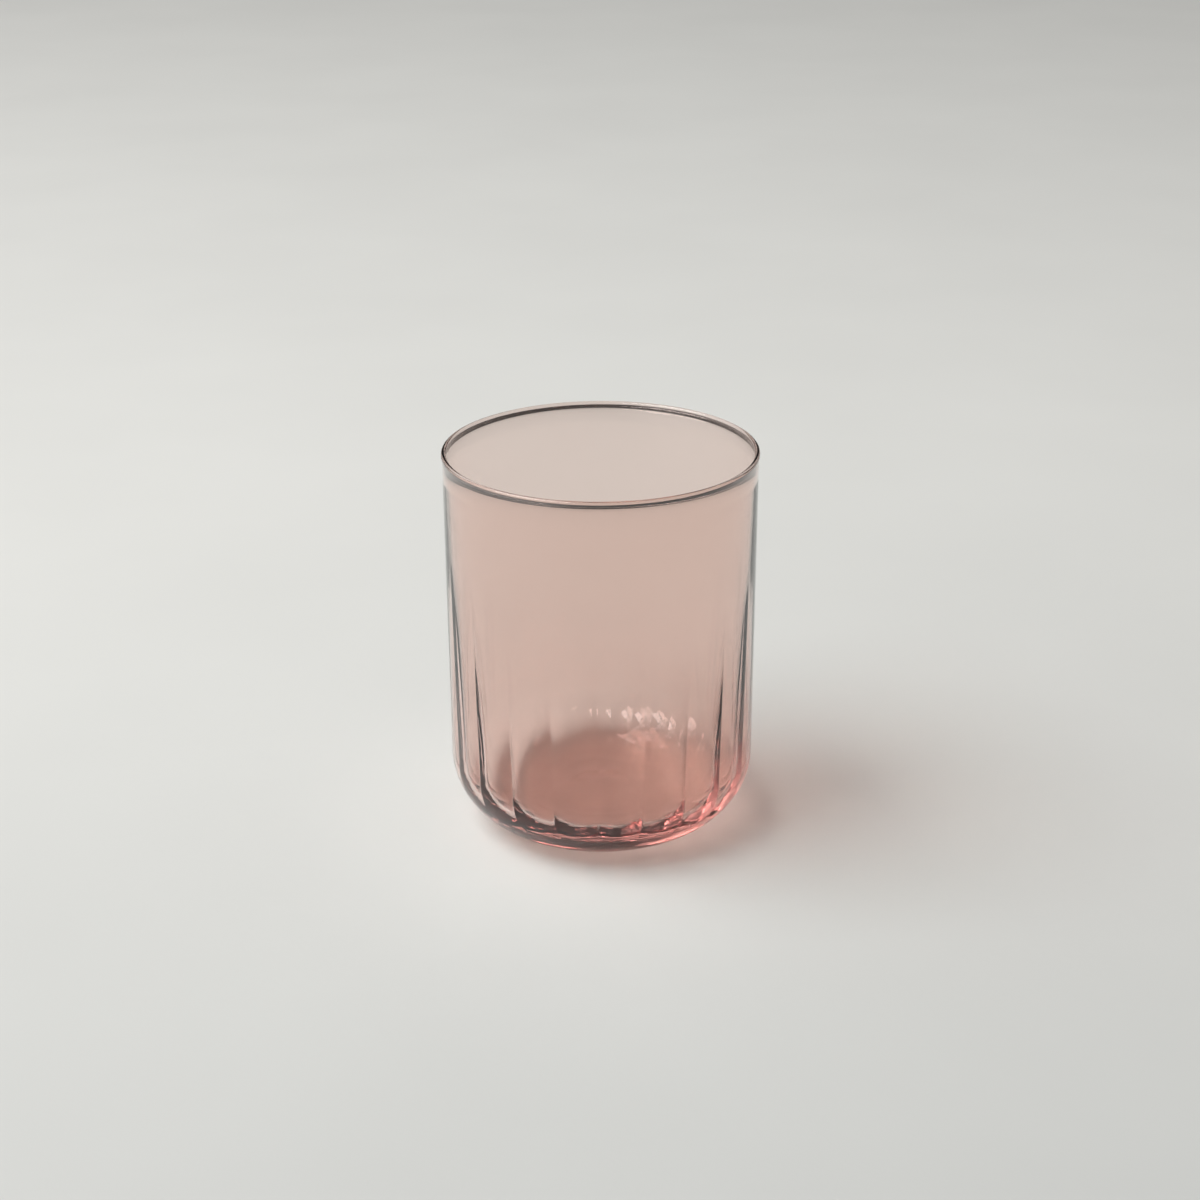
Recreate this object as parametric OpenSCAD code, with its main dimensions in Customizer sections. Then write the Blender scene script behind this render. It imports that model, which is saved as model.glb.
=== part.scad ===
// A pink pressed drinking glass: one solid body of glass, smooth outside,
// with fine upright ribs round the inside.
// Millimetres, +Z up, with the origin at the middle of the foot.

/* [Body] */
// Height from the foot to the top of the rim
glass_h = 101; // [80:1:130]
// Outside diameter of the rim bead
rim_d = 80; // [70:1:95]
// Thickness of the rounded rim bead
rim_t = 1.3; // [1.2:0.1:2]
// How far the wall lies back from the outside of the bead
rim_step = 0.25; // [0.2:0.05:0.35]
// Outside diameter where the wall runs into the rounded corner
body_d = 78.6; // [70:0.2:79.4]
// Radius of the rounded corner between wall and foot
corner_r = 19; // [14:0.5:24]
// Diameter of the flat foot that stands on the table
foot_d = 33; // [28:1:37]
// Height of the rounded corner's lowest point over the table, where the heel slopes up to it
heel_rise = 0.3; // [0.1:0.05:1]

/* [Inside] */
// Thickness of the wall under the rim bead, between two ribs
lip_wall_t = 0.9; // [0.8:0.05:1]
// Thickness of the wall at the top of the inner corner, between two ribs
low_wall_t = 3.2; // [2.4:0.2:8]
// Thickness of the base at its middle, from the foot plane to the inner floor
base_t = 8.6; // [5:0.2:14]
// Radius of the inner corner between wall and floor
inner_corner_r = 10.6; // [8:0.2:16]

/* [Ribs] */
// Number of fine ribs round the inside
rib_count = 20; // [12:1:32]
// How far a rib's edge stands out of the wall, at its foot
rib_h = 0.4; // [0.2:0.05:0.8]
// Half of the angle between a rib's two flanks
rib_flank = 55; // [35:1:70]
// Height above the foot where the ribs have sunk into the wall
rib_top_h = 76; // [60:1:96]

/* [Underside] */
// Diameter of the shallow hollow in the underside, inside the foot ring
hollow_d = 21; // [12:1:40]
// Depth of the hollow at its middle
hollow_h = 0.4; // [0.2:0.1:1.5]
// Slope of the hollow's side against the table
hollow_slope = 12; // [8:1:60]

/* [Hidden] */
$fn = 96;
// Overrun of every cut past the face that it opens
cut = 1;
// How far a straight side starts inside the arc that it leaves
weld = 0.005;
// Depth that a rib's edge sinks to at its ends
sink = 0.1;
// Depth of a rib's section, from its edge to its flat back inside the glass
rib_t = 0.7;
// Length of a rib's straight part that lies inside the corner's glass
rib_overlap = 4;

rim_tube_r = rim_t / 2;
rim_centre_r = rim_d / 2 - rim_tube_r;
rim_centre_h = glass_h - rim_tube_r;
lip_r = rim_d / 2 - rim_step;

// Outside: the heel and the wall both leave the rounded corner as tangents
body_r = body_d / 2;
foot_r = foot_d / 2;
corner_x = body_r - corner_r;
corner_h = corner_r + heel_rise;
heel_draft = acos(corner_r / norm([corner_x - foot_r, corner_h])) - atan2(corner_x - foot_r, corner_h);
heel_x = corner_x + corner_r * sin(heel_draft);
heel_h = corner_h - corner_r * cos(heel_draft);
wall_run = norm([lip_r - corner_x, rim_centre_h - corner_h]);
wall_draft = acos(corner_r / wall_run) - atan2(rim_centre_h - corner_h, lip_r - corner_x);
corner_top_x = corner_x + corner_r * cos(wall_draft);
corner_top_h = corner_h - corner_r * sin(wall_draft);

// Inside: a straight wall on a round corner
inner_corner_top_h = base_t + inner_corner_r;
inner_top_r = lip_r - lip_wall_t;
inner_low_r = corner_top_x - low_wall_t + (inner_corner_top_h - corner_top_h) * tan(wall_draft);
inner_draft = atan((inner_top_r - inner_low_r) / (rim_centre_h - inner_corner_top_h));
inner_corner_x = inner_low_r - inner_corner_r * cos(inner_draft);

// A rib: an arc that rises out of the floor, then a straight edge that sinks into the wall
rib_half_w = rib_t * tan(rib_flank);
rib_arc_r = inner_corner_r + sink;
rib_arc_x = inner_corner_x - rib_h - sink;
rib_foot_x = rib_arc_x + rib_arc_r * cos(inner_draft);
rib_foot_h = inner_corner_top_h - rib_arc_r * sin(inner_draft);
rib_top_x = inner_top_r - (rim_centre_h - rib_top_h) * tan(inner_draft) + sink;
rib_lean = atan2(rib_top_x - rib_foot_x, rib_top_h - rib_foot_h);
rib_len = norm([rib_top_x - rib_foot_x, rib_top_h - rib_foot_h]);

// The underside's hollow is flat inside a gentle slope
hollow_top_r = hollow_d / 2 - hollow_h / tan(hollow_slope);

// Half section of the outside: foot, rounded corner and wall
module outside_section() {
    intersection() {
        union() {
            polygon([
                [0, hollow_h],
                [hollow_top_r, hollow_h],
                [hollow_d / 2, 0],
                [foot_r, 0],
                [heel_x, heel_h + weld],
                [corner_top_x - weld, corner_top_h],
                [lip_r, rim_centre_h],
                [0, rim_centre_h]
            ]);
            translate([corner_x, corner_h]) circle(r = corner_r);
        }
        square([rim_d, glass_h]);
    }
}

// Half section of the inside: floor, rounded corner and wall, out past the rim
module inside_section() {
    over_h = glass_h + cut;
    touch_h = inner_corner_top_h - inner_corner_r * sin(inner_draft);
    over_x = inner_low_r + (over_h - touch_h) * tan(inner_draft);
    intersection() {
        union() {
            polygon([
                [0, base_t],
                [inner_corner_x, base_t],
                [inner_low_r - weld, touch_h],
                [over_x, over_h],
                [0, over_h]
            ]);
            translate([inner_corner_x, inner_corner_top_h]) circle(r = inner_corner_r);
        }
        square([rim_d, over_h]);
    }
}

// Section of a rib: its edge at the origin, its back away from the drink
module rib_section() {
    polygon([[0, 0], [rib_t, -rib_half_w], [rib_t, rib_half_w]]);
}

// One rib, in the XZ plane
module rib() {
    translate([rib_arc_x, 0, inner_corner_top_h]) rotate([90, 0, 0]) rotate(-90)
        rotate_extrude(angle = 90 - inner_draft) translate([rib_arc_r, 0]) rib_section();
    translate([rib_foot_x, 0, rib_foot_h]) rotate([0, rib_lean, 0]) translate([0, 0, -rib_overlap])
        linear_extrude(rib_len + rib_overlap) rib_section();
}

module rim_bead() {
    translate([0, 0, rim_centre_h]) rotate_extrude() translate([rim_centre_r, 0]) circle(r = rim_tube_r);
}

module tumbler() {
    color("#cf9f96") {
        difference() {
            rotate_extrude() outside_section();
            rotate_extrude() inside_section();
        }
        for (i = [0 : rib_count - 1]) rotate(i * 360 / rib_count) rib();
        rim_bead();
    }
}

tumbler();
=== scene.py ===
"""A pink pressed juice glass, standing on a pale table in soft daylight from the left."""
import math

import bmesh
import bpy
from mathutils import Matrix, Vector


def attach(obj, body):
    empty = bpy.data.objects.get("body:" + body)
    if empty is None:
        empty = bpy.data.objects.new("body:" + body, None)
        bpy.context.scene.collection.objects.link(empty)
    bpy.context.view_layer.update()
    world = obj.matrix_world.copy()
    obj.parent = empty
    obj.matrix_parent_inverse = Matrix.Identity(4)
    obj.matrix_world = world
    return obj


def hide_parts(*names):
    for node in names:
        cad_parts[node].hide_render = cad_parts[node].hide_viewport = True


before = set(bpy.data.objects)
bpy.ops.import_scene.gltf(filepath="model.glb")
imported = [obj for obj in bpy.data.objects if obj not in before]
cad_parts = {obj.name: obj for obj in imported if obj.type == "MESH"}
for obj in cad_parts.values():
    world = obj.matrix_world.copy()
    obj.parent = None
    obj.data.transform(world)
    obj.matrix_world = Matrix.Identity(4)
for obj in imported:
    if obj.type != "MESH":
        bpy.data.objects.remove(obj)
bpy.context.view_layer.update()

# Tumbler
# The whole glass is one gob of pink soda-lime glass, pressed in a mould and fire-polished at
# the rim. Its half section is drawn with arcs, turned round the axis, and the flutes are then
# pressed into the inside.

# Outside
HEIGHT = 0.101
RIM_R = 0.040
BEAD_R = 0.00065
BEAD_STEP = 0.00025  # from the outside of the bead back to the wall
BODY_R = 0.0393  # outside of the rounded corner
CORNER_R = 0.019
FOOT_R = 0.0165
HEEL_RISE = 0.0003  # from the table to the lowest point of the corner's arc
HOLLOW_R = 0.0105
HOLLOW_DEPTH = 0.0004

# Inside
LIP_WALL = 0.0009
LOW_WALL = 0.0032
BASE = 0.0086
INNER_CORNER_R = 0.0106
WALL_BOW = 0.0003  # how far the inner wall bows out at half its height

# Flutes
FLUTES = 20
RIDGE = 0.0006  # height of a ridge between two flutes, low in the glass
FADE_START = 0.030  # the ridges are whole up to here, and gone at FADE_END
FADE_END = 0.075
FADE_POWER = 1.5
FLOOR_FADE = 0.4 * INNER_CORNER_R  # from the floor's edge out to where the ridges are whole

# Mesh
STEPS_PER_FLUTE = 20
CROWDING = 0.45  # how strongly the mesh's columns draw towards the ridges
MERGE = 1e-7
FLOOR_SLACK = 1e-6
WALL_SLACK = 0.0003  # a vertex this far out of the inner wall still counts as the inside's


def tangent_lean(run, reach):
    """Angle at which a straight side leaves the corner's arc, to a point this far from its centre."""
    return math.acos(CORNER_R / math.hypot(run, reach)) - math.atan2(run, reach)


bead_x, bead_z = RIM_R - BEAD_R, HEIGHT - BEAD_R
lip_x = RIM_R - BEAD_STEP
corner_x, corner_z = BODY_R - CORNER_R, CORNER_R + HEEL_RISE
heel_lean = tangent_lean(corner_x - FOOT_R, corner_z)
heel_x, heel_z = corner_x + CORNER_R * math.sin(heel_lean), corner_z - CORNER_R * math.cos(heel_lean)
wall_lean = tangent_lean(bead_z - corner_z, lip_x - corner_x)
wall_x, wall_z = corner_x + CORNER_R * math.cos(wall_lean), corner_z - CORNER_R * math.sin(wall_lean)
inner_corner_z = BASE + INNER_CORNER_R
inner_x = wall_x - LOW_WALL + (inner_corner_z - wall_z) * math.tan(wall_lean)
inner_lean = math.atan((lip_x - LIP_WALL - inner_x) / (bead_z - inner_corner_z))
inner_corner_x = inner_x - INNER_CORNER_R * math.cos(inner_lean)
hollow_ball_r = (HOLLOW_R ** 2 + HOLLOW_DEPTH ** 2) / (2 * HOLLOW_DEPTH)
hollow_angle = math.degrees(math.asin(HOLLOW_R / hollow_ball_r))
bead_start = math.degrees(math.acos((lip_x - bead_x) / BEAD_R))
bead_end = math.degrees(math.acos((bead_x - lip_x + LIP_WALL) / BEAD_R))

section = bmesh.new()


def line(start, x, z, parts):
    """Draws a straight run of the half section from a vertex to (x, z), and returns its last vertex."""
    step = (Vector((x, 0, z)) - start.co) / parts
    for _ in range(parts):
        start = bmesh.ops.extrude_vert_indiv(section, verts=[start])["verts"][0]
        start.co += step
    return start


def arc(start, x, z, degrees, parts):
    """Draws an arc of the half section from a vertex about (x, z), and returns its last vertex."""
    made = bmesh.ops.spin(section, geom=[start], cent=(x, 0, z), axis=(0, 1, 0),
                          angle=math.radians(degrees), steps=parts, use_duplicate=False)
    return [v for v in made["geom_last"] if isinstance(v, bmesh.types.BMVert)][0]


# From the middle of the hollow out over the foot and the corner, up the wall, round the bead,
# down the inner wall, and in over the floor
pen = section.verts.new((0, 0, HOLLOW_DEPTH))
pen = arc(pen, 0, HOLLOW_DEPTH - hollow_ball_r, hollow_angle, parts=10)
pen = line(pen, FOOT_R, 0, parts=6)
pen = line(pen, heel_x, heel_z, parts=6)
pen = arc(pen, corner_x, corner_z, -90 + math.degrees(heel_lean + wall_lean), parts=34)
pen = line(pen, lip_x, bead_z - BEAD_R * math.sin(math.radians(bead_start)), parts=14)
pen = arc(pen, bead_x, bead_z, -(180 + bead_start + bead_end), parts=26)
pen = line(pen, inner_x, inner_corner_z - INNER_CORNER_R * math.sin(inner_lean), parts=64)
pen = arc(pen, inner_corner_x, inner_corner_z, 90 - math.degrees(inner_lean), parts=30)
pen = line(pen, 0, BASE, parts=14)
bmesh.ops.spin(section, geom=section.verts[:] + section.edges[:], cent=(0, 0, 0), axis=(0, 0, 1),
               angle=2 * math.pi, steps=FLUTES * STEPS_PER_FLUTE, use_merge=True)
bmesh.ops.remove_doubles(section, verts=section.verts, dist=MERGE)
bmesh.ops.recalc_face_normals(section, faces=section.faces)

# Each flute is a turned surface about an axis of its own, so two of them meet in a ridge that
# fades out upwards. The inner wall bows outwards a little, so the glass thins fast above the base.
half_pitch = math.pi / FLUTES
ridge_x = inner_x - RIDGE
flute_axis = (inner_x ** 2 - ridge_x ** 2) / (2 * (inner_x - ridge_x * math.cos(half_pitch)))


def clamp(share):
    """Holds a share between 0 and 1."""
    return max(0, min(1, share))


for vert in section.verts:
    x, y, z = vert.co
    radius, turn = math.hypot(x, y), math.atan2(y, x)
    middle = (math.floor(turn / (2 * half_pitch)) + 0.5) * 2 * half_pitch
    off = turn - middle
    off += half_pitch * CROWDING / math.pi * math.sin(math.pi * off / half_pitch)
    inner_wall = inner_x + (z - inner_corner_z) * math.tan(inner_lean)
    if z > BASE - FLOOR_SLACK and inner_corner_x < radius < inner_wall + WALL_SLACK:
        flute = flute_axis * math.cos(off) + math.sqrt(
            max(0, (radius - flute_axis) ** 2 - (flute_axis * math.sin(off)) ** 2))
        fade = clamp((FADE_END - z) / (FADE_END - FADE_START)) ** FADE_POWER
        ridge = (radius - flute) * fade * clamp((radius - inner_corner_x) / FLOOR_FADE)
        up_wall = clamp((z - inner_corner_z) / (bead_z - inner_corner_z))
        radius -= ridge - WALL_BOW * 4 * up_wall * (1 - up_wall)
    vert.co.x, vert.co.y = radius * math.cos(middle + off), radius * math.sin(middle + off)

mesh = bpy.data.meshes.new("glass_body")
section.to_mesh(mesh)
section.free()
for face in mesh.polygons:
    face.use_smooth = True
glass = bpy.data.objects.new("glass_body", mesh)
bpy.context.collection.objects.link(glass)


def linear(hex_colour):
    """Turns an sRGB hex colour into linear RGBA."""
    parts = [int(hex_colour[k:k + 2], 16) / 255 for k in (1, 3, 5)]
    return tuple(c / 12.92 if c <= 0.04045 else ((c + 0.055) / 1.055) ** 2.4 for c in parts) + (1,)


def node(tree, kind, links=(), **settings):
    """Adds a node, sets its properties and sockets, and links its inputs."""
    made = tree.nodes.new(kind)
    for name, value in settings.items():
        if hasattr(made, name):
            setattr(made, name, value)
        else:
            made.inputs[name.replace("_", " ")].default_value = value
    for socket, source in links:
        tree.links.new(source, made.inputs[socket])
    return made


# Soda-lime glass with a pink lustre on its surface, so each wall that the light crosses takes
# nearly the same share of green and blue. The glass itself is faintly pink as well, which shows
# red where the light runs along the thick base. Faint upright streaks come from drawing the
# plunger out, and level wrinkles low down from the chilled mould.
SODA_LIME_IOR = 1.515
LUSTRE = "#f5e6e0"
TINT = "#f39589"
TINT_DENSITY = 16.0
# Noise cells in a metre: a streak is about 7 mm wide and 70 mm long, and a wrinkle 14 mm long
# and 1 mm high, as coarse as they need to be to show
STREAK_CELLS = (140, 140, 14)
STREAK_DEPTH = 0.00004
WRINKLE_CELLS = (70, 70, 900)
WRINKLE_DEPTH = 0.00003
CHILL_TOP, CHILL_BOTTOM = 0.026, 0.012  # the wrinkles set in between these heights
pink = bpy.data.materials.new("pink_soda_lime_glass")
pink.use_nodes = True
tree = pink.node_tree
tree.nodes.clear()
skin = node(tree, "ShaderNodeTexCoord")
drawn = node(tree, "ShaderNodeMapping", [("Vector", skin.outputs["Object"])])
drawn.inputs["Scale"].default_value = STREAK_CELLS
streak = node(tree, "ShaderNodeTexNoise", [("Vector", drawn.outputs[0])], Scale=1.0, Detail=1.0)
pressed = node(tree, "ShaderNodeMapping", [("Vector", skin.outputs["Object"])])
pressed.inputs["Scale"].default_value = WRINKLE_CELLS
chill = node(tree, "ShaderNodeTexNoise", [("Vector", pressed.outputs[0])], Scale=1.0, Detail=2.0)
level = node(tree, "ShaderNodeSeparateXYZ", [(0, skin.outputs["Object"])])
heel = node(tree, "ShaderNodeMapRange", [(0, level.outputs["Z"])], interpolation_type="SMOOTHSTEP",
            From_Min=CHILL_TOP, From_Max=CHILL_BOTTOM)
wrinkle = node(tree, "ShaderNodeMath", [(0, chill.outputs[0]), (1, heel.outputs[0])],
               operation="MULTIPLY")
streaks = node(tree, "ShaderNodeBump", [("Height", streak.outputs[0])],
               Strength=1.0, Distance=STREAK_DEPTH)
wrinkles = node(tree, "ShaderNodeBump", [("Height", wrinkle.outputs[0]), ("Normal", streaks.outputs[0])],
                Strength=1.0, Distance=WRINKLE_DEPTH)
surface = node(tree, "ShaderNodeBsdfPrincipled", [("Normal", wrinkles.outputs[0])],
               Transmission_Weight=1.0, IOR=SODA_LIME_IOR, Roughness=0.0, Base_Color=linear(LUSTRE))
inside = node(tree, "ShaderNodeVolumeAbsorption", Color=linear(TINT), Density=TINT_DENSITY)
node(tree, "ShaderNodeOutputMaterial", [("Surface", surface.outputs[0]), ("Volume", inside.outputs[0])])
mesh.materials.append(pink)
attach(glass, "root")
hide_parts("tumbler")

# Table
# A broad pale table top under the glass, painted off-white, with the faint drift and tooth of
# rolled paint. Painted shade makes the table darker towards the near side and the right.
TABLE_HALF = 3.0
TABLE_GAP = 0.00005
# The second colour is painted shade: the table is drawn darker towards the near side and the right.
UNSHADED_PAINT, PAINT_IN_PAINTED_SHADE = "#dcdcd8", "#c6c7c4"
PAINTED_SHADE_SIDE = (0.25, -1, 0)
PAINTED_SHADE_FROM, PAINTED_SHADE_TO = -0.30, 0.20  # metres from the glass towards the side of the painted shade
PAINTED_SHADE_POWER = 1.5
DRIFT_CELLS = 9.0  # in a metre: patches of 110 mm
DRIFT = 0.015
NOISE_LOW, NOISE_HIGH = 0.3, 0.7  # a noise seldom leaves this span
TOOTH_CELLS = 900.0  # in a metre: grains of 1 mm, coarser than the real ones so that they show
TOOTH_DEPTH = 0.0002
TOOTH_STRENGTH = 0.08
PAINT_ROUGHNESS = 0.6
MIX_A, MIX_B, MIX_RESULT = 6, 7, 2  # the colour sockets of a Mix node, which share their names
table_mesh = bpy.data.meshes.new("table")
top = bmesh.new()
bmesh.ops.create_grid(top, x_segments=1, y_segments=1, size=TABLE_HALF)
bmesh.ops.translate(top, vec=(0, 0, -TABLE_GAP), verts=top.verts)
top.to_mesh(table_mesh)
top.free()
table = bpy.data.objects.new("table", table_mesh)
bpy.context.collection.objects.link(table)
paint = bpy.data.materials.new("matt_white_paint")
paint.use_nodes = True
tree = paint.node_tree
tree.nodes.clear()
spot = node(tree, "ShaderNodeTexCoord")
towards_painted_shade = node(tree, "ShaderNodeVectorMath", [(0, spot.outputs["Object"])], operation="DOT_PRODUCT")
towards_painted_shade.inputs[1].default_value = PAINTED_SHADE_SIDE
painted_shade = node(tree, "ShaderNodeMapRange", [(0, towards_painted_shade.outputs["Value"])],
                From_Min=PAINTED_SHADE_FROM, From_Max=PAINTED_SHADE_TO)
eased_painted_shade = node(tree, "ShaderNodeMath", [(0, painted_shade.outputs[0])], operation="POWER")
eased_painted_shade.inputs[1].default_value = PAINTED_SHADE_POWER
# Painted shade: mixes the paint towards its darker colour on the near right side.
shade = node(tree, "ShaderNodeMix", [("Factor", eased_painted_shade.outputs[0])], data_type="RGBA")
shade.inputs[MIX_A].default_value = linear(UNSHADED_PAINT)
shade.inputs[MIX_B].default_value = linear(PAINT_IN_PAINTED_SHADE)
cloud = node(tree, "ShaderNodeTexNoise", [("Vector", spot.outputs["Object"])],
             Scale=DRIFT_CELLS, Detail=3.0)
drift = node(tree, "ShaderNodeMapRange", [(0, cloud.outputs[0])],
             From_Min=NOISE_LOW, From_Max=NOISE_HIGH, To_Min=1 - DRIFT, To_Max=1 + DRIFT)
tone = node(tree, "ShaderNodeVectorMath", [(0, shade.outputs[MIX_RESULT])], operation="SCALE")
tree.links.new(drift.outputs[0], tone.inputs["Scale"])
grain = node(tree, "ShaderNodeTexNoise", [("Vector", spot.outputs["Object"])],
             Scale=TOOTH_CELLS, Detail=2.0)
tooth = node(tree, "ShaderNodeBump", [("Height", grain.outputs[0])],
             Strength=TOOTH_STRENGTH, Distance=TOOTH_DEPTH)
coat = node(tree, "ShaderNodeBsdfPrincipled",
            [("Base Color", tone.outputs[0]), ("Normal", tooth.outputs[0])], Roughness=PAINT_ROUGHNESS)
node(tree, "ShaderNodeOutputMaterial", [("Surface", coat.outputs[0])])
table_mesh.materials.append(paint)

# Light
# A large window high at the left and a little in front, with pale walls round it. The rest of
# the room is dark, which is what the thick base of the glass shows.
DAYLIGHT = "#fffefd"
WINDOW_SIDE = (-0.82, -0.15, 0.55)
GLOW_EDGE, GLOW_MIDDLE = 0.5, 1.0  # cosines of the angle off the window's direction
DARK_ROOM, PALE_WALL = 0.05, 1.6
WINDOW_WIDTH, WINDOW_HEIGHT = 2.0, 1.5
WINDOW_POWER = 60
WINDOW_PLACE = Vector((-1.30, -0.42, 2.10))
GLASS_MIDDLE = Vector((0, 0, 0.05))
scene = bpy.context.scene
scene.world = bpy.data.worlds.new("room")
scene.world.use_nodes = True
tree = scene.world.node_tree
tree.nodes.clear()
direction = node(tree, "ShaderNodeTexCoord")
to_window = node(tree, "ShaderNodeVectorMath", [(0, direction.outputs["Generated"])],
                 operation="DOT_PRODUCT")
to_window.inputs[1].default_value = WINDOW_SIDE
glow = node(tree, "ShaderNodeMapRange", [(0, to_window.outputs["Value"])],
            From_Min=GLOW_EDGE, From_Max=GLOW_MIDDLE, To_Min=DARK_ROOM, To_Max=PALE_WALL)
room = node(tree, "ShaderNodeBackground", [("Strength", glow.outputs[0])], Color=linear(DAYLIGHT))
node(tree, "ShaderNodeOutputWorld", [("Surface", room.outputs[0])])
window_light = bpy.data.lights.new("window", "AREA")
window_light.shape = "RECTANGLE"
window_light.size, window_light.size_y = WINDOW_WIDTH, WINDOW_HEIGHT
window_light.energy = WINDOW_POWER
window = bpy.data.objects.new("window", window_light)
bpy.context.collection.objects.link(window)
window.location = WINDOW_PLACE
window.rotation_euler = (GLASS_MIDDLE - WINDOW_PLACE).to_track_quat("-Z", "Y").to_euler()

# Camera
# Looks down at 22 degrees, turned so that a ridge stands 1.45 degrees left of the middle. Its
# place and lens were fitted to the outline of the glass in the photo.
PITCH = 0.38828  # radians, as the roll is
ROLL = -0.00415
TURN = math.radians(1.45)
DISTANCE = 0.639773
ASIDE = -0.000272
ABOVE = 0.055505
FRAME_PIXELS = 1200
FOCAL_PIXELS = 2400
SENSOR_WIDTH = 36
CLIP_START = 0.01
ahead = Vector((0, math.cos(PITCH), -math.sin(PITCH)))
up = Vector((0, math.sin(PITCH), math.cos(PITCH)))
right = Vector((1, 0, 0))
place = right * ASIDE + up * ABOVE - ahead * DISTANCE
right, up = right * math.cos(ROLL) + up * math.sin(ROLL), up * math.cos(ROLL) - right * math.sin(ROLL)
lens = bpy.data.cameras.new("camera")
lens.sensor_width = SENSOR_WIDTH
lens.lens = FOCAL_PIXELS / FRAME_PIXELS * SENSOR_WIDTH
lens.clip_start = CLIP_START
camera = bpy.data.objects.new("camera", lens)
bpy.context.collection.objects.link(camera)
turned = Matrix((right, up, -ahead)).transposed().to_4x4()
camera.matrix_world = Matrix.Rotation(TURN, 4, "Z") @ Matrix.Translation(place) @ turned
scene.camera = camera

# Light crosses many surfaces of the glass, and filtering its gloss would darken what comes
# through onto the table
scene.view_settings.view_transform = "Standard"
scene.cycles.max_bounces = 24
scene.cycles.transmission_bounces = 24
scene.cycles.glossy_bounces = 12
scene.cycles.transparent_max_bounces = 16
scene.cycles.blur_glossy = 0.0
